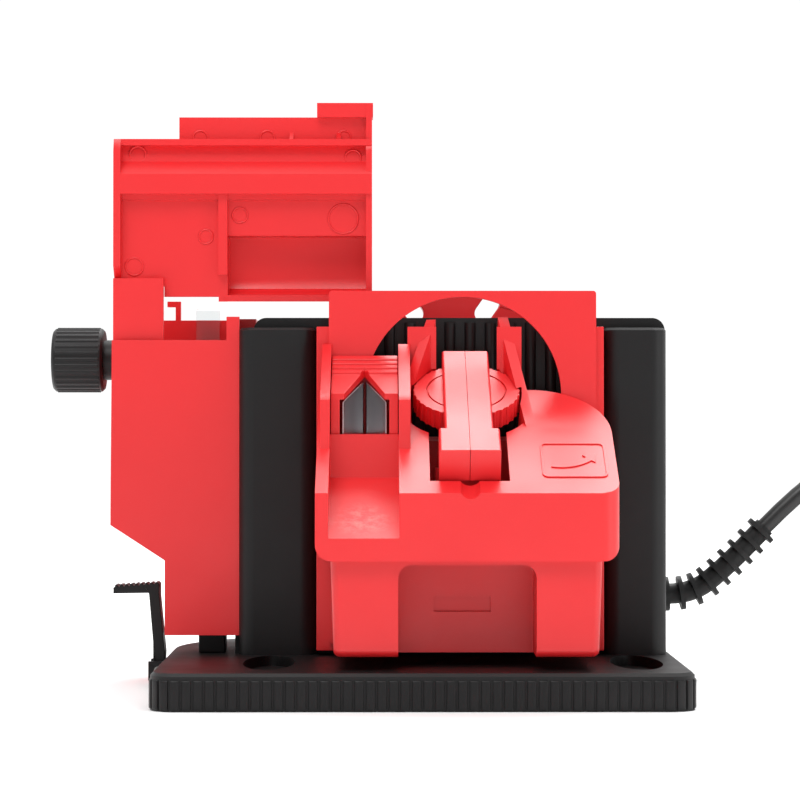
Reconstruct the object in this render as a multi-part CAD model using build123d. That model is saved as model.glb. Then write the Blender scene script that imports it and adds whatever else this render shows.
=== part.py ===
from build123d import *
import math
import os

# Drill bit sharpener, millimetres.  +X right, +Y to the rear, +Z up.
# The origin is the middle of the base's underside.

# base
base_w, base_d, base_top = 200.0, 190.0, 14.0
foot_h, foot_r = 1.5, 9.0
feet = [(-84, -80), (84, -80), (-60, 66), (80, 72)]
bolt_x, bolt_mid, bolt_y, bolt_r = 140.0, 12.0, -47.0, 3.0
recess_w, recess_l, recess_h = 19.5, 64.0, 4.0
# motor housing
body_x0, body_x1, body_y0, body_y1 = -73.3, 97.5, -3.0, 72.0
split_y, body_top, wall = 35.0, 147.2, 3.0
col_y0, col_y1, col_top = -13.0, 16.0, 143.0
shaft_y, shaft_z, shaft_r = 32.0, 104.0, 4.0
wheel_r, wheel_w = 29.0, 15.0
drill_x = 17.6                      # middle plane of the drill station
# drill station
slope = math.radians(29.0)
head_x0, head_x1, head_y0, head_y1 = -39.5, 72.6, -89.0, -19.0
head_z0, lip_z = 54.5, 79.5         # underside, and top of the front lip
box_x0, box_x1, box_y0, box_z0 = -34.0, 66.3, -85.0, 19.0
open_x, open_z, open_r = 16.8, 116.3, 38.5
knob_y, knob_top, knob_r, knob_h = -35.0, 118.0, 20.6, 7.6
# side wheel box and its tool guide
side_x0, side_x1, side_y0, side_y1 = -122.0, -73.3, -7.0, 72.0
pivot_y, pivot_z = 23.0, 131.0
# mains lead
lead_r = 3.5
exit_y, exit_z = 48.0, 34.0


def block(x0, x1, y0, y1, z0, z1):
    return Pos((x0 + x1) / 2, (y0 + y1) / 2, (z0 + z1) / 2) * Box(x1 - x0, y1 - y0, z1 - z0)


def front(sketch, y0, y1):
    """A front-view outline, x and z, as a prism from y0 to y1."""
    return Pos(0, y1, 0) * (Rot(90, 0, 0) * extrude(sketch, y1 - y0))


def side(points, x0, x1):
    """A side-view outline, y and z, as a prism from x0 to x1."""
    return extrude(Plane.YZ.offset(x0) * make_face(Polyline(*points, close=True)), x1 - x0)


def outline(*points):
    return make_face(Polyline(*points, close=True))


def rod_x(x0, x1, y, z, r):
    return Pos(x0, y, z) * (Rot(0, 90, 0) * Cylinder(r, x1 - x0, align=(Align.CENTER, Align.CENTER, Align.MIN)))


def rod_y(x, y0, y1, z, r):
    return Pos(x, y0, z) * (Rot(-90, 0, 0) * Cylinder(r, y1 - y0, align=(Align.CENTER, Align.CENTER, Align.MIN)))


def rod_z(x, y, z0, z1, r):
    return Pos(x, y, z0) * Cylinder(r, z1 - z0, align=(Align.CENTER, Align.CENTER, Align.MIN))


def top_z(y):
    """Height of the drill station's sloping top at depth y."""
    return lip_z + (y - head_y0) * math.tan(slope)


# local frame of the sloping top: x across, y up the slope, z square to it, origin at the knob's middle
knob_frame = Location(Plane(origin=(drill_x, knob_y, knob_top), x_dir=(1, 0, 0),
                            z_dir=(0, -math.sin(slope), math.cos(slope))))
skin = (top_z(knob_y) - knob_top) * math.cos(slope)   # the station's top in that frame


def base_plate():
    plan = Rectangle(base_w, base_d)
    corners = plan.vertices().sort_by(Axis.Y)
    plan = fillet(corners[:2], 10)
    corners = plan.vertices().filter_by(lambda v: v.Y > base_d / 2 - 1).sort_by(Axis.X)
    plan = fillet(corners[:1], 72)
    corners = plan.vertices().filter_by(lambda v: v.Y > base_d / 2 - 1).sort_by(Axis.X)
    plan = fillet(corners[-1:], 25)
    body = extrude(plan, base_top)
    body = chamfer(body.faces().sort_by(Axis.Z)[-1].outer_wire().edges(), 1.2)
    for x in (bolt_mid - bolt_x / 2, bolt_mid + bolt_x / 2):
        slot = extrude(Ellipse(recess_w / 2, recess_l / 2), recess_h + 1)
        body -= Pos(x, bolt_y, base_top - recess_h) * slot
        body -= rod_z(x, bolt_y, -1, base_top, bolt_r)
    for x, y in feet:
        body -= rod_z(x, y, -1, foot_h, foot_r)
    for y in lever_lugs:
        body += block(-108, -99, y, y + 2.5, 3, 10.5)
    body -= rod_y(lever_x, -2, 17, lever_z, pin_r)
    return body


# release lever on the base's left edge
lever_x, lever_z, pin_r = -104.2, 7.0, 1.5
lever_y0, lever_y1 = 2.0, 12.0
lever_lugs = (lever_y0 - 2.9, lever_y1 + 0.4)


def foot_lever():
    post = front(outline((-106.3, 3.6), (-102.2, 3.6), (-101.6, 14), (-103.8, 36.5), (-103.8, 41.4),
                         (-122.2, 39.8), (-122.2, 37.4), (-108, 37.6), (-106.3, 18)), lever_y0, lever_y1)
    for i in range(9):
        post += front(outline((-121.8 + i * 2, 39.4), (-120.0 + i * 2, 39.4), (-120.4 + i * 2, 40.9 + i * 0.13),
                              (-121.4 + i * 2, 40.9 + i * 0.13)),
                      lever_y0, lever_y1)
    return post - rod_y(lever_x, 0, 14, lever_z, pin_r + 0.05)


def lever_pin():
    return rod_y(lever_x, lever_lugs[0], lever_lugs[1] + 2.5, lever_z, pin_r)


def base_feet():
    return [rod_z(x, y, 0, foot_h, foot_r) for x, y in feet]


def body_outline(inset):
    x0, x1, top = body_x0 + inset, body_x1 - inset, body_top - inset
    face = outline((x0, base_top + inset), (x1, base_top + inset), (x1, top), (-66 + inset, top),
                   (-66 + inset, 140 - inset), (x0, 140 - inset))
    return fillet(face.vertices().filter_by(lambda v: v.Y > top - 0.1), 5 - inset)


def column(x0, x1):
    plan = Pos((x0 + x1) / 2, (col_y0 + col_y1) / 2) * Rectangle(x1 - x0, col_y1 - col_y0)
    plan = fillet(plan.vertices().filter_by(lambda v: v.Y < 0), 6.5)
    post = Pos(0, 0, base_top) * extrude(plan, col_top - base_top)
    return chamfer(post.faces().sort_by(Axis.Z)[-1].edges().filter_by(lambda e: e.center().Y < 5), 1)


def front_shell():
    shell = front(body_outline(0), body_y0, split_y)
    shell += column(-71.5, -41) + column(72.5, body_x1)
    shell -= block(-68.5, -44, col_y0 + wall, 1, base_top + wall, col_top - wall)
    shell -= block(75.5, body_x1 - wall, col_y0 + wall, 1, base_top + wall, col_top - wall)
    for i in range(12):
        shell += rod_z(-28 + i * 8, body_y0, 20, body_top - 2, 2.2)
    shell -= front(body_outline(wall), body_y0 + wall, split_y + 1)
    shell -= block(drill_x - 7, drill_x + 7, body_y0 - 4, body_y0 + wall + 1, 98, 130)
    shell -= rod_x(body_x0 - 1, body_x0 + wall + 1, shaft_y, shaft_z, 9)
    for x, z in shell_bosses:
        shell += rod_y(x, col_y0 + wall, split_y, z, boss_r)
        shell -= rod_y(x, split_y - 18, split_y + 1, z, screw_r)
    return shell - box_screw_holes()


shell_bosses = [(-56, 28), (86, 23), (-55, 136), (88, 136)]
boss_r, screw_r = 5.8, 1.6


def rear_shell():
    plan = Pos((body_x0 + body_x1) / 2, 0) * Rectangle(body_x1 - body_x0, 2 * body_y1)
    plan = fillet(plan.vertices().filter_by(lambda v: v.Y > 0), 8)
    shell = front(body_outline(0), split_y, body_y1) & extrude(plan, 200)
    shell -= front(body_outline(wall), split_y - 1, body_y1 - wall)
    shell -= rod_x(body_x0 - 1, body_x0 + wall + 1, shaft_y, shaft_z, 9)
    for x, z in shell_bosses:
        shell += rod_y(x, split_y, body_y1 - wall + 1, z, boss_r)
        shell -= rod_y(x, split_y - 1, body_y1 + 1, z, screw_r)
        shell -= rod_y(x, body_y1 - 4, body_y1 + 1, z, 4.1)
    for i in range(9):
        shell -= block(40, 78, body_y1 - wall - 1, body_y1 + 1, 62 + i * 7, 65 + i * 7)
    shell -= block(body_x1 - wall - 1, body_x1 + 1, switch_y0, switch_y1, switch_z0, switch_z1)
    shell -= rod_x(body_x1 - wall - 1, body_x1 + 1, exit_y, exit_z, 5.5)
    return shell - box_screw_holes()


def box_screw_holes():
    near, far = box_screw_y
    return rod_x(-80, -64, near, box_screw_z, screw_r) + rod_x(-80, -64, far, box_screw_z, screw_r)


box_screw_y, box_screw_z = (8.0, 60.0), 60.0


def shell_screws():
    screws = []
    for x, z in shell_bosses:
        screw = rod_y(x, split_y - 18, body_y1 - 4, z, screw_r) + rod_y(x, body_y1 - 4, body_y1 - 1.2, z, 3.8)
        screw -= block(x - 3, x + 3, body_y1 - 2.4, body_y1, z - 0.5, z + 0.5)
        screw -= block(x - 0.5, x + 0.5, body_y1 - 2.4, body_y1, z - 3, z + 3)
        screws.append(screw)
    return screws


# rocker switch on the right wall of the rear shell
switch_y0, switch_y1, switch_z0, switch_z1 = 44.0, 60.0, 92.0, 116.0
rocker_y, rocker_z, rocker_tilt = 52.0, 104.0, 8.0


def switch_frame():
    frame = block(body_x1, body_x1 + 1.8, switch_y0 - 2, switch_y1 + 2, switch_z0 - 2, switch_z1 + 2)
    frame += block(body_x1 - 6.8, body_x1, switch_y0, switch_y1, switch_z0, switch_z1)
    return frame - block(body_x1 - 6.1, body_x1 + 3, switch_y0 + 1.5, switch_y1 - 1.5,
                         switch_z0 + 1.5, switch_z1 - 1.5) \
        - rod_y(body_x1 - 3, switch_y0 - 1, switch_y1 + 1, rocker_z, 1.0)


def switch_rocker():
    cap = front(outline((body_x1 - 5.0, rocker_z - 4), (body_x1 - 5.0, rocker_z + 4), (body_x1 + 0.8, rocker_z + 9.4),
                        (body_x1 + 3.6, rocker_z + 9.2), (body_x1 + 1.8, rocker_z), (body_x1 + 3.6, rocker_z - 9.2),
                        (body_x1 + 0.8, rocker_z - 9.4)), switch_y0 + 1.8, switch_y1 - 1.8)
    cap += rod_y(body_x1 - 3, switch_y0 + 0.1, switch_y1 - 0.1, rocker_z, 0.95)
    pivot = Pos(body_x1 - 3, rocker_y, rocker_z)
    return pivot * (Rot(0, -rocker_tilt, 0) * (pivot.inverse() * cap))


niche_depth = 24.0                  # finger room under the station's front


def station_box():
    box = front(fillet(outline((box_x0, head_z0), (box_x0 + 1.2, box_z0), (box_x1 - 1.2, box_z0),
                               (box_x1, head_z0)).vertices().filter_by(lambda v: v.Y < box_z0 + 1), 2.5),
                box_y0, head_y1)
    upright = box.edges().filter_by(lambda e: e.center().Y < box_y0 + 1 and e.length > 30 and
                                    abs(e.center().X - open_x) > 30 and e.center().Z < 50)
    box = fillet(upright, 3)
    box -= block(box_x0 + 4, box_x1 - 4, box_y0 + niche_depth + 3, head_y1 - 2.5, box_z0 + 2.5, head_z0 + 1)
    niche = front(fillet(outline((-9, 15), (42, 15), (42, 53), (-9, 53)).vertices().filter_by(lambda v: v.Y > 50), 5),
                  box_y0 - 1, box_y0 + niche_depth)
    return box - niche - block(4.5, 26, box_y0 + niche_depth - 1, box_y0 + niche_depth + 1.8, 34.3, 40.1)


chute_x0, chute_x1, chute_drop, ledge_y, ledge_z = -34.7, -8.6, 16.6, -50.0, 101.0
cheek_w = 4.4


def head_cover():
    plan = outline((head_x0, head_y0), (head_x1, head_y0), (head_x1, head_y1), (head_x0, head_y1))
    right = plan.vertices().filter_by(lambda v: v.X > 0).sort_by(Axis.Y)
    plan = fillet(right[:1], 7)
    plan = fillet(plan.vertices().filter_by(lambda v: v.X > 0 and v.Y > head_y1 - 1), 30)
    cover = Pos(0, 0, head_z0) * extrude(plan, 80)
    lower = outline((head_x0, head_z0), (head_x1, head_z0), (head_x1, 140), (head_x0, 140))
    lower = fillet(lower.vertices().filter_by(lambda v: v.Y < head_z0 + 1), 6)
    cover &= front(lower, head_y0 - 1, head_y1 + 1)
    cover &= side([(head_y0, 40), (head_y0, lip_z), (head_y1, top_z(head_y1)), (head_y1, 40)], -60, 90)
    # room inside, right of the chute
    cover -= side([(-84, head_z0 - 1), (-84, lip_z - 2), (-22, top_z(-22) - 4), (-22, head_z0 - 1)], -3.5, 64)
    # chute for the bit, and the floor under it
    deep = lip_z - chute_drop
    rise = math.tan(slope)
    cover -= side([(head_y0 - 2, deep - 2 * rise), (ledge_y, deep + (ledge_y - head_y0) * rise), (ledge_y, ledge_z),
                   (head_y1 + 1, ledge_z), (head_y1 + 1, 150), (head_y0 - 2, 150)], chute_x0, chute_x1)
    cover -= side([(-84, head_z0 - 1), (-84, deep - 2), (-54, deep + 28 * rise - 2),
                   (-22, deep + 28 * rise - 2), (-22, head_z0 - 1)], chute_x0 + 3, chute_x1 - 2)
    # well for the knob and slot for the bit holder
    well = Circle(25) + Pos(0, -30) * Rectangle(29.6, 54) - Pos(-32, 0) * Rectangle(20, 60)
    cover -= knob_frame * (Pos(0, 0, skin - 16) * extrude(well, 24))
    cover -= knob_frame * (Pos(0, -70, skin + 2.2) * (Rot(-90, 0, 0) * Cylinder(4.2, 30)))
    # tall cheeks each side of the gauge
    cheek = [(-60, top_z(-60) - 3), (-60, 114), (-57.5, 116.2), (-21, 136.2), (head_y1, 136.2), (head_y1, ledge_z - 4),
             (-40, ledge_z - 4)]
    cover += side(cheek, chute_x0 - 3.6, chute_x0)
    cover += side(cheek, chute_x1, chute_x1 + cheek_w)
    return cover + holder_rails()


def fin(x0, y0, x1, y1, thick, top0, top1, low):
    """An upright wall in plan from (x0, y0) to (x1, y1), its top falling from top0 to top1."""
    run = math.hypot(x1 - x0, y1 - y0)
    face = make_face(Polyline((0, low), (run, low), (run, top1), (0, top0), close=True))
    plane = Plane(origin=(x0, y0, 0), x_dir=((x1 - x0) / run, (y1 - y0) / run, 0),
                  z_dir=((y1 - y0) / run, -(x1 - x0) / run, 0))
    return extrude(plane * face, thick / 2, both=True)


def holder_rails():
    """Two cross-shaped posts in the round opening, each braced out to the head."""
    rails = fin(4.3, -16, -5.8, -33, 4.2, 146, 117, 96) + fin(32.6, -13.5, 42.6, -46, 4.2, 147, 102, 96)
    rails += block(-5.0, 6.2, -20.5, -18.2, 112, 143) + block(30, 39.6, -20.5, -18.2, 112, 143)
    keep = knob_frame * (Pos(0, 0, -30) * Cylinder(knob_r + 0.8, 60.8))
    under = block(-10, 60, -90, -10, 60, 100)
    return rails - keep - under


def gauge_cap():
    z0 = 116.5
    y0, y1 = -47.5, -20.0
    rise = (y1 - y0) * math.tan(slope)
    cap = side([(y0, z0 - 2.4), (y0, z0), (y1, z0 + rise), (y1, z0 + rise - 3.2)], chute_x0 + 0.3, chute_x1 - 0.3)
    for i in range(4):
        y = -34 + i * 3.2
        z = z0 + (y - y0) * math.tan(slope)
        cap += side([(y, z - 0.5), (y, z + 0.9), (y + 2.2, z + 2.1), (y + 2.2, z + 0.5)], chute_x0 + 0.3, chute_x1 - 0.3)
    notch = outline((gauge_x - 8.2, y0 - 1), (gauge_x + 8.2, y0 - 1), (gauge_x, y0 + 17))
    legs = block(chute_x0 + 0.3, chute_x0 + 3.6, y0, -42, ledge_z, z0 - 0.5) \
        + block(chute_x1 - 3.6, chute_x1 - 0.3, y0, -42, ledge_z, z0 - 0.5) \
        + block(chute_x0 + 0.3, chute_x1 - 0.3, -25, -20, ledge_z, 127)
    return cap + legs - Pos(0, 0, 90) * extrude(notch, 60)


gauge_x = (chute_x0 + chute_x1) / 2


def gauge_jaw(turn):
    """One of two steel blades that meet in a V for the bit's tip; turn is -1 left, 1 right."""
    return fin(gauge_x + turn * 8.4, -45.5, gauge_x + turn * 0.55, -31, 0.8, 113.5, 121.5, ledge_z)


def guide_plate():
    plate = fillet(outline((-35.8, 19), (69, 19), (69, 157.2), (-35.8, 157.2)).vertices(), 1.2)
    return front(plate - Pos(open_x, open_z) * Circle(open_r), head_y1, head_y1 + 3)


def carrier():
    """Back plate of the drill station, set between the housing's two columns."""
    sheet = outline((-40.7, base_top + 2), (72.2, base_top + 2), (72.2, 143.2), (-40.7, 143.2))
    plate = front(sheet - Pos(open_x, open_z) * Circle(open_r + 1.5), head_y1 + 3, -12.6)
    plate += block(-40.7, -35, -12.6, body_y0, base_top + 2, 143.2) + block(66.5, 72.2, -12.6, body_y0, base_top + 2, 143.2)
    return plate


def clamp_knob():
    disc = Cylinder(knob_r - 0.5, knob_h, align=(Align.CENTER, Align.CENTER, Align.MAX))
    for i in range(36):
        a = math.radians(i * 10)
        disc += Pos((knob_r - 0.9) * math.cos(a), (knob_r - 0.9) * math.sin(a), 0) * \
            Cylinder(0.9, knob_h, align=(Align.CENTER, Align.CENTER, Align.MAX))
    ring = Cylinder(15.6, 1, align=(Align.CENTER, Align.CENTER, Align.MAX)) \
        - Cylinder(14.8, 1, align=(Align.CENTER, Align.CENTER, Align.MAX))
    disc -= ring
    disc += Pos(0, 0, -knob_h) * Cylinder(13, 6, align=(Align.CENTER, Align.CENTER, Align.MAX))
    return knob_frame * (disc - Cylinder(3.05, 60))


def knob_spindle():
    pin = Pos(0, 0, -0.6) * Cylinder(3.0, 21.6, align=(Align.CENTER, Align.CENTER, Align.MAX))
    pin += Pos(0, 0, -13.9) * Cylinder(7.0, 2.5, align=(Align.CENTER, Align.CENTER, Align.MAX))
    return knob_frame * pin


def spindle_bracket():
    """Web under the knob that carries its spindle, standing in the station box."""
    web = block(drill_x - 12, drill_x + 12, -40, -23, 60, 88)
    web = web & (knob_frame * (Pos(0, 0, -16.4) * Box(60, 60, 60, align=(Align.CENTER, Align.CENTER, Align.MAX))))
    web += block(drill_x - 12, drill_x + 12, -33, -22, box_z0 + 2.5, 62)
    return web - knob_frame * (Pos(0, 0, -20) * Cylinder(3.0, 30))


holder_v0, holder_v1, block_v1 = -57.0, 24.0, -38.5


def holder_half(turn):
    """Half of the split bit holder over the knob; turn is -1 left, 1 right."""
    x0, x1 = (0.1, 9.1) if turn > 0 else (-9.1, -0.1)
    w0, w1 = (0.1, 11.4) if turn > 0 else (-11.4, -0.1)
    bar = block(x0, x1, block_v1, holder_v1, 0.4, 4.5)
    bar += block(x0, x1, 21.6, holder_v1, -5, 4.5)
    bar += block(w0, w1, holder_v0 + 2, block_v1 + 0.01, -8.4, 4.5)
    bar = fillet(bar.edges().filter_by(Axis.Y).filter_by(lambda e: abs(e.center().X) > 8 and e.center().Z > 4), 1)
    bore = Rot(-90, 0, 0) * Cylinder(1.2, 80, align=(Align.CENTER, Align.CENTER, Align.MIN))
    return knob_frame * (bar - Pos(0, block_v1, 2.4) * bore)


def wheel_box():
    face = [(side_x0, 138.2), (side_x0 - 0.5, 65), (-101, 51), (-101, 21.4), (side_x1, 21.4), (side_x1, 138.2)]
    low = [(x, min(z, 136)) for x, z in face]
    sides = outline(*low)
    hollow = outline((-115, 150), (-115, 63.5), (-98, 52.5), (-98, 24.4), (-76.3, 24.4), (-76.3, 150))
    box = front(outline(*face), side_y0, side_y0 + 3)
    inner = outline((-118, 136), (-118, 63.5), (-101, 51), (-101, 21.4), (side_x1, 21.4), (side_x1, 136))
    box += front(inner, side_y0 + 3, side_y1) + front(sides, side_y1 - 3, side_y1)
    box += block(side_x1 - 3.3, -71.5, side_y0, side_y0 + 3, 21.4, 147.5)
    box += block(side_x1 - 3.3, side_x1, side_y0, side_y1, 130, 147.5)
    box += block(side_x1 - 0.1, -66, col_y1 + 0.2, side_y1, 140.2, 147.5)
    box += block(-116, side_x1, side_y1 - 3, side_y1, 130, 149)
    box -= front(hollow, side_y0 + 3, side_y1 - 3)
    box += block(-102.5, -100.3, side_y1 - 3, side_y1, 148, 157) + block(-106, -100.3, side_y1 - 3, side_y1, 154.6, 157)
    box += rod_x(-115.1, -111.5, pivot_y, pivot_z - 1, 6.0)
    box -= rod_x(-130, -100, pivot_y, pivot_z, 2.6)
    box -= rod_x(-80, -70, shaft_y, shaft_z, 9)
    return box - box_screw_holes()


def box_foot():
    return block(-88, -77.5, 0, 14, base_top, 21.4)


def box_screws():
    return [rod_x(-78.5, -66, y, box_screw_z, screw_r) + rod_x(-79.2, -76.6, y, box_screw_z, 3.4)
            for y in box_screw_y]


def spark_shield():
    return block(-93.5, -83.5, 64, 66, 128, 153.5) + block(-93.5, -83.5, 64, side_y1 - 3, 128, 131)


def tool_guide():
    """Upright guide for flat tools: a ribbed panel on one arm, turning about the side pivot."""
    x0, x1, y0 = -122.0, -19.0, -2.0
    flange = block(-96.3, -21, y0 + 8, y0 + 10.5, 216, 228)
    latch = block(-41, -18.6, y0 + 5, y0 + 16, 228.4 - 0.6, 233.5) - block(-38.8, -20.8, y0 + 7, y0 + 18, 226, 231.3)
    roof = side([(y0 + 2, 218.7), (y0 + 10.5, 218.7), (y0 + 10.5, 216.2), (y0 + 8.6, 216.2), (y0 + 8.6, 209),
                 (y0 + 3.4, 203), (y0 + 3.4, 196.7), (y0, 196.7), (y0, 204.6), (y0 + 5, 210), (y0 + 6, 216.2),
                 (y0 + 2, 216.2)], x0, x1)
    left = block(x0, -80.3, y0 + 5, y0 + 8, 155.9, 197.5) - block(x0 - 1, -102, y0, y0 + 9, 150, 162.9)
    band = block(-76.7, x1, y0 + 5, y0 + 8, 180.3, 197.5)
    deep = side([(y0 + 5, 180.3), (y0 + 16, 180.3), (y0 + 16, 164), (y0 + 14, 159.5), (y0 + 10, 157.2), (y0 + 4, 156.4),
                 (y0 + 4, 153.9), (y0 + 12, 154.9), (y0 + 16.6, 158), (y0 + 18.5, 163), (y0 + 18.5, 182.6),
                 (y0 + 5, 182.6)], -76.8, x1 - 0.1)
    rib = block(-80.3, -76.7, y0 + 2, y0 + 8, 164.5, 197.5)
    rib += side([(y0 + 5, 197.5), (y0 + 5, 153.9), (y0 + 14, 154.6), (y0 + 18.5, 160), (y0 + 18.5, 183), (y0 + 8, 197.5)],
                -80.3, -76.7)
    rib += block(-80.3, -76.7, y0 + 3, y0 + 8.6, 196, 197.5)
    left_wall = side([(y0, 168), (y0 + 8, 160), (y0 + 8, 218.7), (y0 + 2, 218.7), (y0, 214)], x0, x0 + 2.8)
    right_wall = side([(y0 + 1, 156), (y0 + 12, 153.9), (y0 + 18.5, 160), (y0 + 18.5, 186), (y0 + 14.5, 198),
                       (y0 + 14.5, 228.4), (y0 + 8, 233.5), (y0 + 5, 233.5),
                       (y0 + 4, 219), (y0 + 1, 214)], x1 - 2.4, x1)
    joins = block(x0, -80.3, y0 + 3, y0 + 8, 194.5, 197.5) + block(-76.7, x1, y0 + 3, y0 + 8, 194.5, 197.5)
    arm = block(x0, -102, y0, y0 + 3, 136.9, 163) + block(x0, -102, y0 + 0.2, y0 + 8, 160, 163)
    arm += side([(y0, 136.9), (y0, 163), (y0 + 8, 163), (pivot_y + 8, pivot_z + 2), (pivot_y + 6, pivot_z - 6),
                 (pivot_y - 3, pivot_z - 8.5)], x0, x0 + 3.6)
    arm += rod_x(x0, x0 + 3.6, pivot_y, pivot_z, 9)
    body = roof + flange + latch + left + band + deep + rib + left_wall + right_wall + joins + arm
    body += block(-21.4, x1, y0 + 5, y0 + 8, 216, 233)
    for x in (-52, -33):
        body += side([(y0 + 8, 218), (y0 + 8, 222), (y0 + 3.5, 218.2)], x, x + 1.5)
    return body - rod_x(x0 - 1, x0 + 5, pivot_y, pivot_z, 2.6)


def guide_knob():
    """Black clamp knob with a moulded-in stud."""
    knob = rod_x(-148.3, -127.7, pivot_y, pivot_z, 12.8)
    knob = chamfer(knob.edges().filter_by(GeomType.CIRCLE), 1)
    for i in range(30):
        a = math.radians(i * 12)
        knob += rod_x(-146.6, -129.4, pivot_y + 12.25 * math.cos(a), pivot_z + 12.25 * math.sin(a), 0.95)
    return knob + rod_x(-127.8, -122.3, pivot_y, pivot_z, 8.1)


def guide_stud():
    return rod_x(-130, -107, pivot_y, pivot_z, 2.5)


def guide_nut():
    nut = extrude(RegularPolygon(4.6, 6), 3)
    return Pos(-111.5, pivot_y, pivot_z) * (Rot(0, 90, 0) * nut) - rod_x(-120, -100, pivot_y, pivot_z, 2.56)


def motor_can():
    can = rod_x(36, 82, shaft_y, shaft_z, 28) - rod_x(34, 79, shaft_y, shaft_z, 25)
    can -= rod_x(70, 90, shaft_y, shaft_z, 8)
    for i in range(6):
        a = math.radians(30 + i * 60)
        can -= Pos(81, shaft_y + 16 * math.cos(a), shaft_z + 16 * math.sin(a)) * (Rot(0, 90, 0) * Cylinder(4, 8))
    return can


def motor_end_plate():
    return rod_x(33, 36, shaft_y, shaft_z, 28) - rod_x(30, 40, shaft_y, shaft_z, 8)


def motor_cradles():
    """Saddles that stand on the housing floor and carry the motor."""
    saddles = []
    for x in (42.0, 72.0):
        web = block(x - 3, x + 3, shaft_y - 24, shaft_y + 24, base_top + wall, shaft_z - 12)
        saddles.append(web - rod_x(x - 5, x + 5, shaft_y, shaft_z, 28))
    return saddles


def armature():
    core = rod_x(42, 72, shaft_y, shaft_z, 22)
    for i in range(12):
        a = math.radians(i * 30)
        core -= rod_x(41, 73, shaft_y + 21 * math.cos(a), shaft_z + 21 * math.sin(a), 2)
    return core - rod_x(40, 80, shaft_y, shaft_z, shaft_r)


def motor_shaft():
    return rod_x(-106, 92, shaft_y, shaft_z, shaft_r)


def bearing(x0, r):
    race = rod_x(x0, x0 + 7, shaft_y, shaft_z, r) - rod_x(x0 - 1, x0 + 8, shaft_y, shaft_z, shaft_r + 0.05)
    groove = rod_x(x0 - 1, x0 + 1, shaft_y, shaft_z, r - 1.6) - rod_x(x0 - 1, x0 + 1, shaft_y, shaft_z, shaft_r + 1.4)
    return race - groove


def bearing_block(x0):
    """Pedestal around the shaft bearing at the housing's left wall."""
    post = block(x0, x0 + 7, shaft_y - 13, shaft_y + 13, base_top + wall, shaft_z + 13)
    return post - rod_x(x0 - 1, x0 + 8, shaft_y, shaft_z, 9)


def cooling_fan():
    hub = rod_x(84, 90, shaft_y, shaft_z, 8) + rod_x(84, 85.2, shaft_y, shaft_z, 25)
    for i in range(9):
        blade = block(85, 90, shaft_y - 0.8, shaft_y + 0.8, shaft_z + 6, shaft_z + 24.5)
        hub += Pos(0, shaft_y, shaft_z) * (Rot(i * 40, 0, 0) * (Pos(0, -shaft_y, -shaft_z) * blade))
    return hub - rod_x(80, 95, shaft_y, shaft_z, shaft_r)


def wheel(x):
    stone = rod_x(x - wheel_w / 2, x + wheel_w / 2, shaft_y, shaft_z, wheel_r)
    stone = chamfer(stone.edges().filter_by(GeomType.CIRCLE), 0.8)
    return stone - rod_x(x - 20, x + 20, shaft_y, shaft_z, shaft_r)


side_wheel_x = -92.0


def wheel_nut():
    nut = extrude(RegularPolygon(7, 6), 5)
    return Pos(side_wheel_x - wheel_w / 2 - 5, shaft_y, shaft_z) * (Rot(0, 90, 0) * nut) \
        - rod_x(-120, -90, shaft_y, shaft_z, shaft_r)


def wheel_flanges():
    pairs = []
    for x0 in (side_wheel_x + wheel_w / 2, drill_x - wheel_w / 2 - 3, drill_x + wheel_w / 2):
        pairs.append(rod_x(x0, x0 + 3, shaft_y, shaft_z, 10 if x0 > side_wheel_x + 20 else 8.2)
                     - rod_x(x0 - 1, x0 + 4, shaft_y, shaft_z, shaft_r))
    return pairs


def knife_guide():
    """Slotted arch on the housing's top, for knives and scissors."""
    arch = outline((-17, body_top), (58, body_top), (58, 152), (52, 160.4), (-12.5, 160.4), (-17, 152))
    for x, tilt in ((-3, -35), (29, 35)):
        arch -= Pos(x, 153.6) * (Rot(0, 0, 90 - tilt) * SlotOverall(13, 7.4))
    return front(arch, 52, 66)


# mains lead: tapered sleeve, free run, coil, tail and plug
sleeve_path = [(body_x1 - 4, exit_y, exit_z), (115, exit_y, exit_z + 1), (129.5, exit_y, 47.3), (144.2, exit_y, 62.4)]
lead_route = [(144.2, 48, 62.4), (172, 48, 91), (212, 52, 97), (250, 60, 76), (271, 78, 37), (277, 99, 8),
              (277.5, 126, 3.5)]
coil_mid, coil_turn_r = (231.5, 126), 46.0
tail_route = [(185.5, 124, 10.5), (185.5, 100, 10), (188, 80, 9.6)]


def arc_path(points, show=""):
    radii = []
    for a, b, c in zip(points, points[1:], points[2:]):
        one, two = Vector(*b) - Vector(*a), Vector(*c) - Vector(*b)
        turn = math.radians(one.get_angle(two))
        radii.append(0.45 * min(one.length, two.length) / math.tan(turn / 2))
    if show:
        print(show, "arc radii", [round(r, 1) for r in radii])
    return FilletPolyline(*points, radius=radii)


def tube(points, r, show=""):
    path = arc_path(points, show)
    start = Plane(origin=path @ 0, z_dir=path % 0)
    body = sweep(start * Circle(r), path=path)
    if show:
        print(show, "volume over section x length", round(body.volume / (math.pi * r * r * path.length), 4))
    return body


def strain_relief():
    core = tube(sleeve_path, 4.3, "sleeve") + rod_x(body_x1 - 4.5, body_x1 + 4, exit_y, exit_z, 5.4)
    path = arc_path(sleeve_path)
    for i in range(9):
        at = 0.16 + i * 0.1
        place = Plane(origin=path @ at, z_dir=path % at)
        core += extrude(place * Circle(7.1 - i * 0.06), 0.95, both=True)
    core += rod_x(body_x1 - 4.5, body_x1 - 3, exit_y, exit_z, 7.5)
    return core


def cord_lead():
    return tube(lead_route, lead_r, "lead")


def cord_coil():
    ring = Circle(coil_turn_r + lead_r) - Circle(coil_turn_r - 5 * lead_r)
    return Pos(coil_mid[0], coil_mid[1], 0) * extrude(ring, 4 * lead_r)


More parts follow.
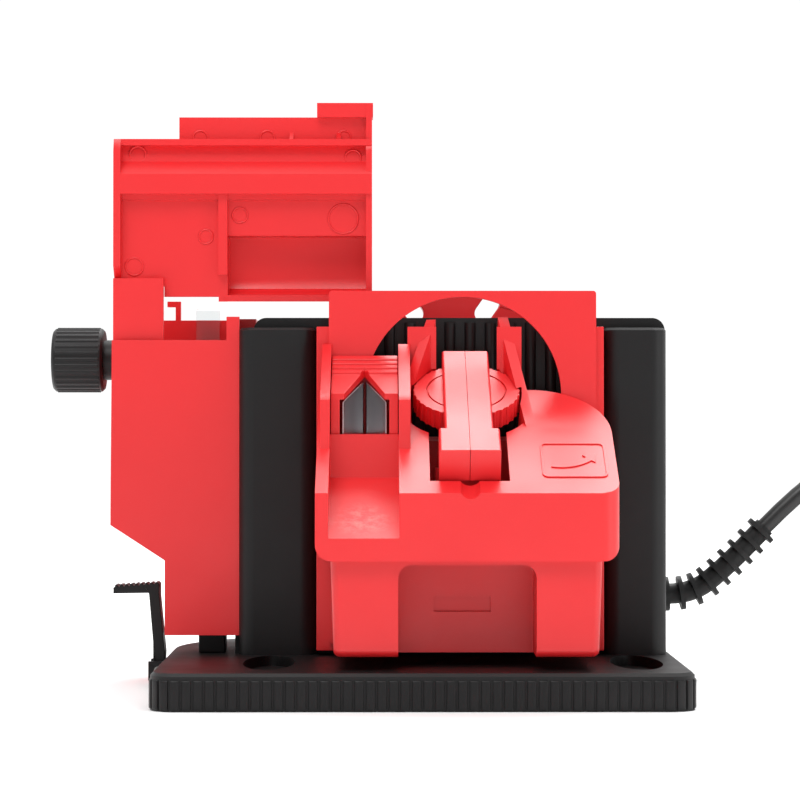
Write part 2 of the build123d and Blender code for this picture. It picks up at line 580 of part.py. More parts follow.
def cord_tail():
    return tube(tail_route, lead_r, "tail")


def plug():
    x, y, z = tail_route[-1]
    body = block(x - 13.5, x + 13.5, y - 34, y, 0.2, 19)
    body = chamfer(body.edges().filter_by(Axis.Y), 3)
    pins = rod_y(x - 9.5, y - 52, y - 34, z, 2.2) + rod_y(x + 9.5, y - 52, y - 34, z, 2.2)
    return body + pins


parts = {
    "base_plate": base_plate(), "base_feet": base_feet(), "foot_lever": foot_lever(), "lever_pin": lever_pin(),
    "front_shell": front_shell(), "rear_shell": rear_shell(), "shell_screws": shell_screws(),
    "switch_frame": switch_frame(), "switch_rocker": switch_rocker(),
    "station_box": station_box(), "head_cover": head_cover(), "guide_plate": guide_plate(), "carrier": carrier(),
    "gauge_cap": gauge_cap(), "gauge_jaw_left": gauge_jaw(-1), "gauge_jaw_right": gauge_jaw(1),
    "clamp_knob": clamp_knob(), "knob_spindle": knob_spindle(), "spindle_bracket": spindle_bracket(),
    "holder_half_left": holder_half(-1), "holder_half_right": holder_half(1),
    "wheel_box": wheel_box(), "box_foot": box_foot(), "box_screws": box_screws(), "spark_shield": spark_shield(),
    "tool_guide": tool_guide(), "guide_knob": guide_knob() - guide_stud(), "guide_stud": guide_stud(),
    "guide_nut": guide_nut(),
    "motor_can": motor_can(), "motor_end_plate": motor_end_plate(), "motor_cradles": motor_cradles(),
    "armature": armature(), "motor_shaft": motor_shaft(), "bearing_left": bearing(-70, 9),
    "bearing_middle": bearing(29, 8), "bearing_right": bearing(76, 8),
    "bearing_pedestal": bearing_block(-70), "cooling_fan": cooling_fan(),
    "side_wheel": wheel(side_wheel_x), "drill_wheel": wheel(drill_x), "wheel_nut": wheel_nut(),
    "wheel_flanges": wheel_flanges(), "knife_guide": knife_guide(),
    "strain_relief": strain_relief(), "cord_lead": cord_lead(), "cord_coil": cord_coil(),
    "cord_tail": cord_tail(), "plug": plug(),
}

os.makedirs("parts", exist_ok=True)
for name, shape in parts.items():
    if isinstance(shape, list):
        shape = Compound(children=[solid for item in shape for solid in item.solids()])
    export_step(shape, "parts/" + name + ".step")
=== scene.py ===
import bpy
import bmesh
import math
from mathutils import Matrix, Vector


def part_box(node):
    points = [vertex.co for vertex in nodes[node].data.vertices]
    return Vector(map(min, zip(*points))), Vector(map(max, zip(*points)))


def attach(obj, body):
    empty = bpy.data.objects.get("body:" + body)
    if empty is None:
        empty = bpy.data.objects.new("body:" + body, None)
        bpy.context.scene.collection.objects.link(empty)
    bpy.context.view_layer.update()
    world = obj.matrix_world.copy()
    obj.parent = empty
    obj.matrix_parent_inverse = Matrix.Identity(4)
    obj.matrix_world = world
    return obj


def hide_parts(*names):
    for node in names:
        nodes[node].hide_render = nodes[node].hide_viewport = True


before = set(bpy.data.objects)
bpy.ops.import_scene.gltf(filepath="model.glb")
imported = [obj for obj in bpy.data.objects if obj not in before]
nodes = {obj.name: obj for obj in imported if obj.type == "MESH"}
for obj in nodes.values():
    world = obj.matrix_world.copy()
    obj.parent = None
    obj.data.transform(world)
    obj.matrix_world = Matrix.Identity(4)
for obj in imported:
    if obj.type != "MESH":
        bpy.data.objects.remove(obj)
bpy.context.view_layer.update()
mm = 0.001
print("frame loaded,", len(nodes), "nodes")


# small helpers

def linkObject(name, data):
    piece = bpy.data.objects.new(name, data)
    bpy.context.scene.collection.objects.link(piece)
    return piece


def finishMesh(name, bm, smooth=True):
    bmesh.ops.recalc_face_normals(bm, faces=bm.faces)
    mesh = bpy.data.meshes.new(name)
    bm.to_mesh(mesh)
    bm.free()
    for face in mesh.polygons:
        face.use_smooth = smooth
    return linkObject(name, mesh)


def softenEdges(piece, width):
    bevel = piece.modifiers.new("edge", "BEVEL")
    bevel.width, bevel.segments, bevel.angle_limit = width, 2, math.radians(40)


def bandBetween(bm, rows):
    # closes a loop of cross-sections, the last one joined to the first
    for i, row in enumerate(rows):
        following = rows[(i + 1) % len(rows)]
        for j in range(len(row)):
            k = (j + 1) % len(row)
            bm.faces.new((row[j], row[k], following[k], following[j]))


def place(piece, body, material):
    piece.data.materials.clear()
    piece.data.materials.append(material)
    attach(piece, body)
    return piece


def hexToLinear(code):
    parts = [int(code[i:i + 2], 16) / 255 for i in (1, 3, 5)]
    return tuple(c / 12.92 if c <= 0.04045 else ((c + 0.055) / 1.055) ** 2.4 for c in parts) + (1.0,)


def addNode(tree, kind, values=None, links=None, **settings):
    node = tree.nodes.new(kind)
    for key, value in settings.items():
        setattr(node, key, value)
    for key, value in (values or {}).items():
        node.inputs[key].default_value = value
    for key, source in (links or {}).items():
        tree.links.new(source, node.inputs[key])
    return node


def newMaterial(name):
    material = bpy.data.materials.new(name)
    material.use_nodes = True
    tree = material.node_tree
    tree.nodes.clear()
    coords = addNode(tree, "ShaderNodeTexCoord").outputs["Object"]
    return material, tree, coords


def closeMaterial(tree, shader):
    addNode(tree, "ShaderNodeOutputMaterial", links={"Surface": shader.outputs[0]})


# camera

cameraSpec = dict(place=(-0.0142, -1.095, 0.103), lens=123.6, sensor=36.0, tilt=90.605, turn=-0.334)


def addCamera():
    data = bpy.data.cameras.new("camera")
    data.lens, data.sensor_width = cameraSpec["lens"], cameraSpec["sensor"]
    data.clip_start, data.clip_end = 0.05, 60
    camera = linkObject("camera", data)
    camera.location = cameraSpec["place"]
    camera.rotation_euler = (math.radians(cameraSpec["tilt"]), 0, math.radians(cameraSpec["turn"]))
    bpy.context.scene.camera = camera


addCamera()
print("camera set")

# materials

# the real eroded grain is about 0.1 mm; both are drawn at 0.9 mm, or none of it would show
redAbsSpec = dict(colour="#E4262A", deep="#D91B20", worn="#F5AAA4", roughness=0.36, ior=1.53, sheen=0.5,
                  cloud=38 * mm, grain=0.9 * mm, grainDepth=0.018 * mm, scratch=7 * mm)  # bright, satin
blackAbsSpec = dict(colour="#121112", deep="#0B0A0B", worn="#4A4848", roughness=0.46, ior=1.53, sheen=0.3,
                    cloud=30 * mm, grain=0.9 * mm, grainDepth=0.03 * mm, scratch=9 * mm)  # duller, soft grey edges
scuffSpec = dict(at=(-0.0225, -0.0775, 0.0695), reach=0.0135, core=0.35, most=0.3, patch=3.2 * mm)


def mouldedPlastic(name, spec, scuff=None):
    # ABS from a spark-eroded mould: a satin sheen that drifts over the part, a fine grain and a few hairline marks
    material, tree, coords = newMaterial(name)
    cloud = addNode(tree, "ShaderNodeTexNoise", {"Scale": 1 / spec["cloud"], "Detail": 3.0}, {"Vector": coords})
    grain = addNode(tree, "ShaderNodeTexNoise", {"Scale": 1 / spec["grain"], "Detail": 2.0}, {"Vector": coords})
    stretch = addNode(tree, "ShaderNodeMapping", {"Scale": (1.0, 1.0, 9.0), "Rotation": (0.5, 0.9, 0.3)},
                      {"Vector": coords})
    hairline = addNode(tree, "ShaderNodeTexNoise", {"Scale": 1 / spec["scratch"] * 8, "Detail": 4.0},
                       {"Vector": stretch.outputs[0]})
    marks = addNode(tree, "ShaderNodeMapRange", {"From Min": 0.66, "From Max": 0.74, "To Max": 0.12},
                    {"Value": hairline.outputs["Fac"]})
    base = addNode(tree, "ShaderNodeMix", {6: hexToLinear(spec["colour"]), 7: hexToLinear(spec["deep"])},
                   {0: cloud.outputs["Fac"]}, data_type="RGBA")
    amount = marks.outputs[0]
    if scuff:                                             # where bits slide down the chute it has gone pale
        far = addNode(tree, "ShaderNodeVectorMath", {1: scuff["at"]}, {0: coords}, operation="DISTANCE")
        spot = addNode(tree, "ShaderNodeMapRange",
                       {"From Min": scuff["core"] * scuff["reach"], "From Max": scuff["reach"],
                        "To Min": scuff["most"], "To Max": 0.0}, {"Value": far.outputs["Value"]})
        patchy = addNode(tree, "ShaderNodeTexNoise", {"Scale": 1 / scuff["patch"], "Detail": 5.0, "Roughness": 0.7},
                         {"Vector": coords})
        patches = addNode(tree, "ShaderNodeMapRange", {"From Min": 0.42, "From Max": 0.68},
                          {"Value": patchy.outputs["Fac"]})
        dust = addNode(tree, "ShaderNodeMath", {}, {0: spot.outputs[0], 1: patches.outputs[0]},
                       operation="MULTIPLY")
        amount = addNode(tree, "ShaderNodeMath", {}, {0: dust.outputs[0], 1: amount},
                         operation="MAXIMUM").outputs[0]
    worn = addNode(tree, "ShaderNodeMix", {7: hexToLinear(spec["worn"])}, {6: base.outputs[2], 0: amount},
                   data_type="RGBA")
    rough = addNode(tree, "ShaderNodeMapRange", {"From Min": 0.25, "From Max": 0.75,
                                                 "To Min": spec["roughness"] - 0.05,
                                                 "To Max": spec["roughness"] + 0.07},
                    {"Value": cloud.outputs["Fac"]})
    bump = addNode(tree, "ShaderNodeBump", {"Strength": 1.0, "Distance": spec["grainDepth"]},
                   {"Height": grain.outputs["Fac"]})
    shader = addNode(tree, "ShaderNodeBsdfPrincipled", {"IOR": spec["ior"], "Specular IOR Level": spec["sheen"]},
                     {"Base Color": worn.outputs[2], "Roughness": rough.outputs[0], "Normal": bump.outputs[0]})
    closeMaterial(tree, shader)
    return material


def twoTone(name, spec, settings, stretch=(1, 1, 1)):
    # a surface whose colour and roughness drift between two values, with its own relief
    material, tree, coords = newMaterial(name)
    lay = addNode(tree, "ShaderNodeMapping", {"Scale": stretch}, {"Vector": coords}).outputs[0]
    drift = addNode(tree, "ShaderNodeTexNoise", {"Scale": 1 / spec["size"], "Detail": 4.0}, {"Vector": lay})
    mix = addNode(tree, "ShaderNodeMix", {6: hexToLinear(spec["colour"]), 7: hexToLinear(spec["deep"])},
                  {0: drift.outputs["Fac"]}, data_type="RGBA")
    rough = addNode(tree, "ShaderNodeMapRange", {"From Min": 0.3, "From Max": 0.7, "To Min": spec["smooth"],
                                                 "To Max": spec["rough"]}, {"Value": drift.outputs["Fac"]})
    links = {"Base Color": mix.outputs[2], "Roughness": rough.outputs[0]}
    height = drift.outputs["Fac"]
    if spec.get("grit"):
        cells = addNode(tree, "ShaderNodeTexVoronoi", {"Scale": 1 / spec["grit"]}, {"Vector": coords})
        height = cells.outputs["Distance"]
    links["Normal"] = addNode(tree, "ShaderNodeBump", {"Strength": 1.0, "Distance": spec["depth"]},
                              {"Height": height}).outputs[0]
    closeMaterial(tree, addNode(tree, "ShaderNodeBsdfPrincipled", settings, links))
    return material


# ground on a belt: fine upright lines and a bright, slightly smeared reflection
steelSpec = dict(colour="#E2E0E1", deep="#9A979A", size=2.6 * mm, smooth=0.1, rough=0.24, depth=0.02 * mm)
# zinc plate: grey and half matt, a little mottled
zincSpec = dict(colour="#A9ABA8", deep="#7E807C", size=4 * mm, smooth=0.3, rough=0.5, depth=0.02 * mm)
# rolled sheet: faint lines round the can
canSpec = dict(colour="#8D8F92", deep="#76787B", size=1.2 * mm, smooth=0.3, rough=0.45, depth=0.01 * mm)
# enamelled wire: brown copper in close lines
copperSpec = dict(colour="#B87345", deep="#8A5230", size=1.0 * mm, smooth=0.3, rough=0.5, depth=0.05 * mm)
# turned brass: warm, with rings from the lathe
brassSpec = dict(colour="#D9B866", deep="#BF9C4C", size=2.0 * mm, smooth=0.18, rough=0.3, depth=0.01 * mm)
# moulded rubber: matt black with a dry surface
rubberSpec = dict(colour="#1B1B1B", deep="#121212", size=9 * mm, smooth=0.48, rough=0.62, depth=0.02 * mm,
                  grit=0.8 * mm)
# extruded PVC: black with a soft sheen along its length
pvcSpec = dict(colour="#171717", deep="#101010", size=14 * mm, smooth=0.36, rough=0.46, depth=0.01 * mm,
               grit=0.8 * mm)
# pad-printed ink: flat off-white
inkSpec = dict(colour="#E9E9E6", deep="#D5D5D0", size=1.5 * mm, smooth=0.45, rough=0.6, depth=0.01 * mm)
# bonded oxide: 0.2 mm grit, drawn at 0.9 mm so that it shows, brown-grey with no shine
stoneSpec = dict(colour="#9A8A80", deep="#6F625C", size=1.1 * mm, smooth=0.8, rough=0.95, depth=0.25 * mm,
                 grit=0.9 * mm)

redAbs = mouldedPlastic("redMouldedAbs", redAbsSpec)
redWornAbs = mouldedPlastic("redMouldedAbsScuffed", redAbsSpec, scuffSpec)
blackAbs = mouldedPlastic("blackMouldedAbs", blackAbsSpec)
groundSteel = twoTone("groundSteel", steelSpec, {"Metallic": 1.0}, stretch=(1, 1, 0.06))
zincSteel = twoTone("zincPlatedSteel", zincSpec, {"Metallic": 1.0})
rolledSteel = twoTone("rolledSteelCan", canSpec, {"Metallic": 1.0}, stretch=(0.08, 1, 1))
enamelCopper = twoTone("enamelledCopper", copperSpec, {"Metallic": 0.8}, stretch=(0.1, 1, 1))
turnedBrass = twoTone("turnedBrass", brassSpec, {"Metallic": 1.0}, stretch=(1, 0.1, 1))
mouldedRubber = twoTone("mouldedRubber", rubberSpec, {"Specular IOR Level": 0.35})
cablePvc = twoTone("extrudedPvc", pvcSpec, {"IOR": 1.53})
grindingStone = twoTone("aluminiumOxideStone", stoneSpec, {"Specular IOR Level": 0.3})
markPaint = twoTone("padPrintedWhiteInk", inkSpec, {"Specular IOR Level": 0.4})


clearSpec = dict(colour="#F2F5F5", ior=1.59, cloud=6 * mm, smooth=0.03, rough=0.14)


def clearPlastic():
    # moulded styrene: clear with a faint cloudiness
    material, tree, coords = newMaterial("clearMouldedStyrene")
    cloud = addNode(tree, "ShaderNodeTexNoise", {"Scale": 1 / clearSpec["cloud"], "Detail": 2.0}, {"Vector": coords})
    rough = addNode(tree, "ShaderNodeMapRange", {"To Min": clearSpec["smooth"], "To Max": clearSpec["rough"]},
                    {"Value": cloud.outputs["Fac"]})
    shader = addNode(tree, "ShaderNodeBsdfPrincipled",
                     {"Base Color": hexToLinear(clearSpec["colour"]), "IOR": clearSpec["ior"],
                      "Transmission Weight": 1.0}, {"Roughness": rough.outputs[0]})
    closeMaterial(tree, shader)
    return material


clearStyrene = clearPlastic()
materialOf = {
    redAbs: "station_box guide_plate carrier gauge_cap clamp_knob holder_half_left holder_half_right wheel_box "
            "tool_guide knife_guide spindle_bracket",
    redWornAbs: "head_cover",
    blackAbs: "base_plate foot_lever front_shell rear_shell switch_frame switch_rocker box_foot guide_knob "
              "cooling_fan bearing_pedestal motor_cradles",
    mouldedRubber: "base_feet strain_relief plug",
    cablePvc: "cord_lead cord_coil cord_tail",
    groundSteel: "gauge_jaw_left gauge_jaw_right motor_shaft bearing_left bearing_middle bearing_right knob_spindle",
    zincSteel: "lever_pin shell_screws box_screws guide_stud guide_nut wheel_nut wheel_flanges",
    rolledSteel: "motor_can motor_end_plate",
    enamelCopper: "armature",
    grindingStone: "side_wheel drill_wheel",
    clearStyrene: "spark_shield",
}
for material, names in materialOf.items():
    for nodeName in names.split():
        if not nodes[nodeName].material_slots:
            nodes[nodeName].data.materials.append(material)
        for slot in nodes[nodeName].material_slots:
            slot.material = material
print("materials made")

# edges: mould and machine edges are never sharp, so each piece gets a small round, in millimetres
bevelSpec = dict(weld=0.002 * mm, segments=2, angle=32, weight=60)
edgeRound = {"station_box": 0.6, "head_cover": 0.6, "guide_plate": 0.45, "carrier": 0.4, "gauge_cap": 0.3,
             "clamp_knob": 0.25, "holder_half_left": 0.3, "holder_half_right": 0.3, "wheel_box": 0.5,
             "tool_guide": 0.35, "knife_guide": 0.8, "base_plate": 0.4, "foot_lever": 0.35, "front_shell": 0.6,
             "rear_shell": 0.5, "switch_frame": 0.4, "switch_rocker": 0.5, "box_foot": 0.5, "guide_knob": 0.3,
             "spark_shield": 0.6, "strain_relief": 0.35, "gauge_jaw_left": 0.34, "gauge_jaw_right": 0.34,
             "bearing_pedestal": 0.5, "motor_cradles": 0.5, "side_wheel": 0.4, "drill_wheel": 0.4}


def roundEdges(piece, width):
    weld = piece.modifiers.new("weld", "WELD")
    weld.merge_threshold = bevelSpec["weld"]
    bevel = piece.modifiers.new("edge", "BEVEL")
    bevel.width, bevel.segments = width * mm, bevelSpec["segments"]
    bevel.limit_method, bevel.angle_limit = "ANGLE", math.radians(bevelSpec["angle"])
    bevel.use_clamp_overlap = True
    bevel.miter_outer = "MITER_ARC"
    normals = piece.modifiers.new("normals", "WEIGHTED_NORMAL")
    normals.keep_sharp = False
    normals.weight = bevelSpec["weight"]


for nodeName, width in edgeRound.items():
    roundEdges(nodes[nodeName], width)
print("edges rounded")

# mains lead: one spline out of the sleeve, down to the bench and round the put-away coil

leadSpec = dict(diameter=7 * mm, coilMid=(231.5, 126.0), turns=(46.0, 39.0, 32.0, 32.0, 39.0, 46.0),
                wound=5.5, layer=7.0, perTurn=16, length=1.59)
leadPoints = [(144.2, 48, 62.4), (172, 48, 91), (212, 52, 97), (250, 60, 76), (271, 78, 37), (277, 99, 8),
              (277.5, 122, 3.5)]
tailPoints = [(185.5, 110, 10.3), (185.5, 100, 10), (188, 80, 9.6)]


def coilPoints():
    points = []
    perTurn, turns = leadSpec["perTurn"], leadSpec["turns"]
    count = int(perTurn * leadSpec["wound"])
    for i in range(count + 1):
        turn = i / perTurn
        whole = int(turn)
        part = turn - whole
        step = max(0.0, part * 4 - 3)                     # each turn steps over in its last quarter
        here = turns[whole]
        there = turns[min(whole + 1, len(turns) - 1)]
        radius = here + (there - here) * step
        up = leadSpec["layer"] * (step if whole == 2 else float(whole > 2))    # the third turn climbs a layer
        angle = 2 * math.pi * turn
        points.append((leadSpec["coilMid"][0] + radius * math.cos(angle),
                       leadSpec["coilMid"][1] + radius * math.sin(angle), leadSpec["layer"] / 2 + up))
    return points


def addLead():
    curve = bpy.data.curves.new("mainsLead", "CURVE")
    curve.dimensions = "3D"
    curve.bevel_depth = leadSpec["diameter"] / 2
    curve.bevel_resolution = 5
    curve.resolution_u = 8
    curve.use_fill_caps = True
    points = leadPoints + coilPoints() + tailPoints
    spline = curve.splines.new("NURBS")
    spline.points.add(len(points) - 1)
    for point, (x, y, z) in zip(spline.points, points):
        point.co = (x * mm, y * mm, z * mm, 1)
    spline.order_u = 3
    spline.use_endpoint_u = True
    spline.use_smooth = True
    lead = linkObject("mainsLead", curve)
    place(lead, "base", cablePvc)
    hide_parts("cord_lead", "cord_coil", "cord_tail")
    return lead


def loft(bm, rings):
    loops = [[bm.verts.new(p) for p in ring] for ring in rings]
    for a, b in zip(loops, loops[1:]):
        for i in range(len(a)):
            j = (i + 1) % len(a)
            bm.faces.new((a[i], a[j], b[j], b[i]))
    bm.faces.new(loops[0])
    bm.faces.new(loops[-1])


def ovalRing(x, y, z, wide, high, power=2.0, count=28):
    # a closed ring square to Y; a higher power squares it up
    ring = []
    for i in range(count):
        a = 2 * math.pi * i / count
        c, s = math.cos(a), math.sin(a)
        ring.append(((x + wide * math.copysign(abs(c) ** (2 / power), c)) * mm, y * mm,
                     (z + high * math.copysign(abs(s) ** (2 / power), s)) * mm))
    return ring


plugSpec = dict(mid=(188.0, 9.6), pinGap=19.0, pinRadius=2.0, flat=3.2, ribs=5, ribStart=67.0, ribPitch=3.4,
                ribHalf=0.7, ribProud=0.5, edge=0.3 * mm,
                body=[(80, 4.5, 4.5), (79.4, 5.2, 5.2), (74, 6.6, 6.2), (69, 9.2, 7.4), (63, 12.0, 8.6),
                      (57, 13.0, 9.1), (49, 13.2, 9.2), (46.8, 13.0, 9.0), (46, 12.2, 8.2)])


def addPlug():
    x, z = plugSpec["mid"]
    bm = bmesh.new()
    rings = []
    for i, (y, wide, high) in enumerate(plugSpec["body"]):
        rings.append(ovalRing(x, y, z, wide, high, 2.0 if i < 3 else plugSpec["flat"]))
    loft(bm, rings)
    for k in range(plugSpec["ribs"]):                     # finger ribs on the two flat sides
        y = plugSpec["ribStart"] - k * plugSpec["ribPitch"]
        wide = 9.5 + k * 0.7                              # the ribs widen with the body
        high = 7.9 + min(k, 2) * 0.55
        loft(bm, [ovalRing(x, y + off * plugSpec["ribHalf"], z, wide * share, high + rise, plugSpec["flat"])
                  for off, share, rise in ((-1, 0.6, 0), (0, 0.62, plugSpec["ribProud"]), (1, 0.6, 0))])
    body = finishMesh("plugBody", bm)
    softenEdges(body, plugSpec["edge"])
    place(body, "base", mouldedRubber)
    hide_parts("plug")
    pins = bmesh.new()
    sleeves = bmesh.new()
    r = plugSpec["pinRadius"]
    for side in (-0.5, 0.5):
        at = x + side * plugSpec["pinGap"]
        loft(sleeves, [ovalRing(at, y, z, w, w, count=20) for y, w in
                       ((46.6, r + 0.1), (38, r + 0.1), (37.6, r - 0.2))])
        loft(pins, [ovalRing(at, y, z, w, w, count=20) for y, w in
                    ((39, r - 0.1), (30, r - 0.1), (28.8, r - 0.5), (28.2, r - 1.1))])
    pinPiece = place(finishMesh("plugPins", pins), "base", turnedBrass)
    sleevePiece = place(finishMesh("plugPinSleeves", sleeves), "base", mouldedRubber)
    return [body, pinPiece, sleevePiece]


# the tie's two bands, as (distance from the coil's middle, height) round the six turns
tieSpec = dict(turns=(0.30, 0.335), half=1.1, thick=0.4 * mm,
               path=[(28.4, 0.5), (49.3, 0.5), (49.6, 12.0), (47.2, 14.1), (30.8, 14.1), (28.2, 12.0)])


def addTie():
    # a wire tie round the coil's turns where they lie farthest from the machine
    bm = bmesh.new()
    midX, midY = leadSpec["coilMid"]
    path = tieSpec["path"]
    for turn in tieSpec["turns"]:
        a = 2 * math.pi * turn
        out, cross = Vector((math.cos(a), math.sin(a), 0)), Vector((-math.sin(a), math.cos(a), 0))
        rows = []
        for i in range(len(path) * 4):                    # four steps to a side
            k, f = divmod(i, 4)
            (r0, z0), (r1, z1) = path[k], path[(k + 1) % len(path)]
            core = Vector((midX, midY, z0 + (z1 - z0) * f / 4)) + out * (r0 + (r1 - r0) * f / 4)
            rows.append([bm.verts.new((core + cross * w) * mm) for w in (-tieSpec["half"], tieSpec["half"])])
        for i in range(len(rows)):
            n = rows[(i + 1) % len(rows)]
            bm.faces.new((rows[i][0], rows[i][1], n[1], n[0]))
    tie = finishMesh("coilTie", bm)
    solid = tie.modifiers.new("thick", "SOLIDIFY")
    solid.thickness, solid.offset = tieSpec["thick"], 1.0
    return place(tie, "base", mouldedRubber)


lead = addLead()
leadPieces = addPlug() + [addTie()]
print("lead laid")

# base rim: upright flutes under a plain band

fluteSpec = dict(pitch=4.2, wide=1.72, proud=0.75, sunk=0.12, low=0.5, high=11.5, square=0.55, arcSteps=24,
                 corners=((1, -1, 10.0), (1, 1, 25.0), (-1, 1, 72.0), (-1, -1, 10.0)))


def rimPath():
    # points and outward directions round the base, corner arcs included
    points = []
    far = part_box("base_plate")[1]
    halfX, halfY, steps = far[0] / mm, far[1] / mm, fluteSpec["arcSteps"]
    for k, (sx, sy, r) in enumerate(fluteSpec["corners"]):
        mid = Vector((sx * (halfX - r), sy * (halfY - r)))
        for i in range(steps + 1):
            a = math.radians(90 * (k - 1) + 90 * i / steps)
            out = Vector((math.cos(a), math.sin(a)))
            points.append((mid + out * r, out))
    return points + points[:1]


def addFlutes():
    bm = bmesh.new()
    path = rimPath()
    total = sum((b[0] - a[0]).length for a, b in zip(path, path[1:]))
    count = round(total / fluteSpec["pitch"])
    step = total / count
    low, high = fluteSpec["low"], fluteSpec["high"]
    travelled, wanted = 0.0, 0.0
    for (p, n), (q, m) in zip(path, path[1:]):
        run = (q - p).length
        while run > 1e-6 and wanted < travelled + run and wanted < total - 0.01:
            f = (wanted - travelled) / run
            at, out = p.lerp(q, f), n.lerp(m, f).normalized()
            along = Vector((-out.y, out.x))
            rings = []
            for z, r in ((low, 0.3), (low + 0.5, 0.9), (low + 1.0, 1.0), (high - 0.8, 1.0), (high - 0.3, 0.9),
                         (high, 0.3)):                    # each flute rounds off at both ends
                ring = []
                for i in range(9):
                    b = math.pi * i / 8
                    side = math.copysign(abs(math.cos(b)) ** fluteSpec["square"], math.cos(b)) * fluteSpec["wide"]
                    rise = math.sin(b) ** fluteSpec["square"] * fluteSpec["proud"] * r - fluteSpec["sunk"]
                    spot = at + along * side + out * rise
                    ring.append((spot.x * mm, spot.y * mm, z * mm))
                rings.append(ring)
            loft(bm, rings)
            wanted += step
        travelled += run
    return place(finishMesh("baseFlutes", bm), "base", blackAbs)


addFlutes()
print("base flutes made")

# raised marks: ejector rings on the tool guide, and a plain curved arrow on the station's slope

# rings are (x, y, z, radius) on the tool guide's front, arrow and panel are in plan on the slope
markSpec = dict(rings=[(-112.7, 3.35, 212.8, 3.2), (-26.6, 3.2, 211.4, 3.2), (-85.4, 2.95, 179.9, 2.8),
                       (-114.0, 2.95, 167.9, 3.5), (-71.8, 2.95, 188.5, 3.0), (-30.5, 2.95, 187.1, 5.9),
                       (-87.9, 5.95, 219.7, 2.9), (-61.0, 5.95, 219.7, 2.9), (-30.3, 5.95, 219.7, 2.9)],
                ringWide=0.46, ringSteps=40, ringProud=0.32, sunk=0.1, panel=(44.5, 69.0, -79.0, -56.5),
                corners=(2.4, 1.7), line=0.8, high=0.45, edge=0.12 * mm, arrowMid=(52.0, -56.5), arrow=(16.4, 13.6),
                arrowFrom=-104, arrowTurn=58, arrowSteps=12, headReach=0.3, headWide=2.0)


def addRings():
    bm = bmesh.new()
    w, up, sunk, steps = (markSpec[key] for key in ("ringWide", "ringProud", "sunk", "ringSteps"))
    for x, y, z, r in markSpec["rings"]:
        rows = []
        for i in range(steps):
            a = 2 * math.pi * i / steps
            rows.append([bm.verts.new(((x + (r + dr) * math.cos(a)) * mm, (y + dy) * mm,
                                       (z + (r + dr) * math.sin(a)) * mm))
                         for dr, dy in ((w, sunk), (w * 0.4, -up), (-w * 0.4, -up), (-w, sunk))])
        bandBetween(bm, rows)
    return place(finishMesh("guideEjectorRings", bm), "tool_guide", redAbs)


slopeSpec = dict(angle=math.radians(29), frontY=-89.0, frontZ=79.5)


def onSlope(x, y, lift):
    # a point on the station's sloping top, raised square to it
    angle = slopeSpec["angle"]
    z = slopeSpec["frontZ"] + (y - slopeSpec["frontY"]) * math.tan(angle)
    return Vector((x, y - lift * math.sin(angle), z + lift * math.cos(angle))) * mm


def raisedShape(bm, outer, inner=None):
    # a raised flat mark from an outline in plan; with an inner outline it is a band between the two
    high, sunk = markSpec["high"], markSpec["sunk"]
    n = len(outer)
    if inner is None:
        top = [bm.verts.new(onSlope(x, y, high)) for x, y in outer]
        low = [bm.verts.new(onSlope(x, y, -sunk)) for x, y in outer]
        bm.faces.new(top)
        bm.faces.new(low[::-1])
        for i in range(n):
            j = (i + 1) % n
            bm.faces.new((top[i], low[i], low[j], top[j]))
        return
    rows = []
    for (x0, y0), (x1, y1) in zip(outer, inner):
        rows.append([bm.verts.new(onSlope(*p))
                     for p in ((x0, y0, -sunk), (x0, y0, high), (x1, y1, high), (x1, y1, -sunk))])
    bandBetween(bm, rows)


def roundedRectangle(x0, x1, y0, y1, r):
    points = []
    for cx, cy, start in ((x1 - r, y0 + r, -90), (x1 - r, y1 - r, 0), (x0 + r, y1 - r, 90), (x0 + r, y0 + r, 180)):
        for i in range(5):
            a = math.radians(start + 90 * i / 4)
            points.append((cx + r * math.cos(a), cy + r * math.sin(a)))
    return points


def addSlopeMark():
    bm = bmesh.new()
    x0, x1, y0, y1 = markSpec["panel"]
    line, (outerCorner, innerCorner) = markSpec["line"], markSpec["corners"]
    raisedShape(bm, roundedRectangle(x0, x1, y0, y1, outerCorner),
                roundedRectangle(x0 + line, x1 - line, y0 + line, y1 - line, innerCorner))
    midX, midY = markSpec["arrowMid"]
    outR, inR = markSpec["arrow"]
    steps, wide = markSpec["arrowSteps"], markSpec["headWide"]

    def at(radius, a):
        return midX + radius * math.cos(a), midY + radius * math.sin(a)

    arc = [math.radians(markSpec["arrowFrom"] + markSpec["arrowTurn"] * i / steps) for i in range(steps + 1)]
    last = arc[-1]
    head = [at(outR + wide, last), at((outR + inR) / 2, last + markSpec["headReach"]), at(inR - wide, last)]
    raisedShape(bm, [at(outR, a) for a in arc] + head + [at(inR, a) for a in reversed(arc)])
    mark = finishMesh("stationArrowMark", bm, smooth=False)
    softenEdges(mark, markSpec["edge"])
    return place(mark, "base", redAbs)


rockerSpec = dict(wide=0.55, proud=0.25, bar=5.2, ring=2.3, steps=32, facing=0.8)


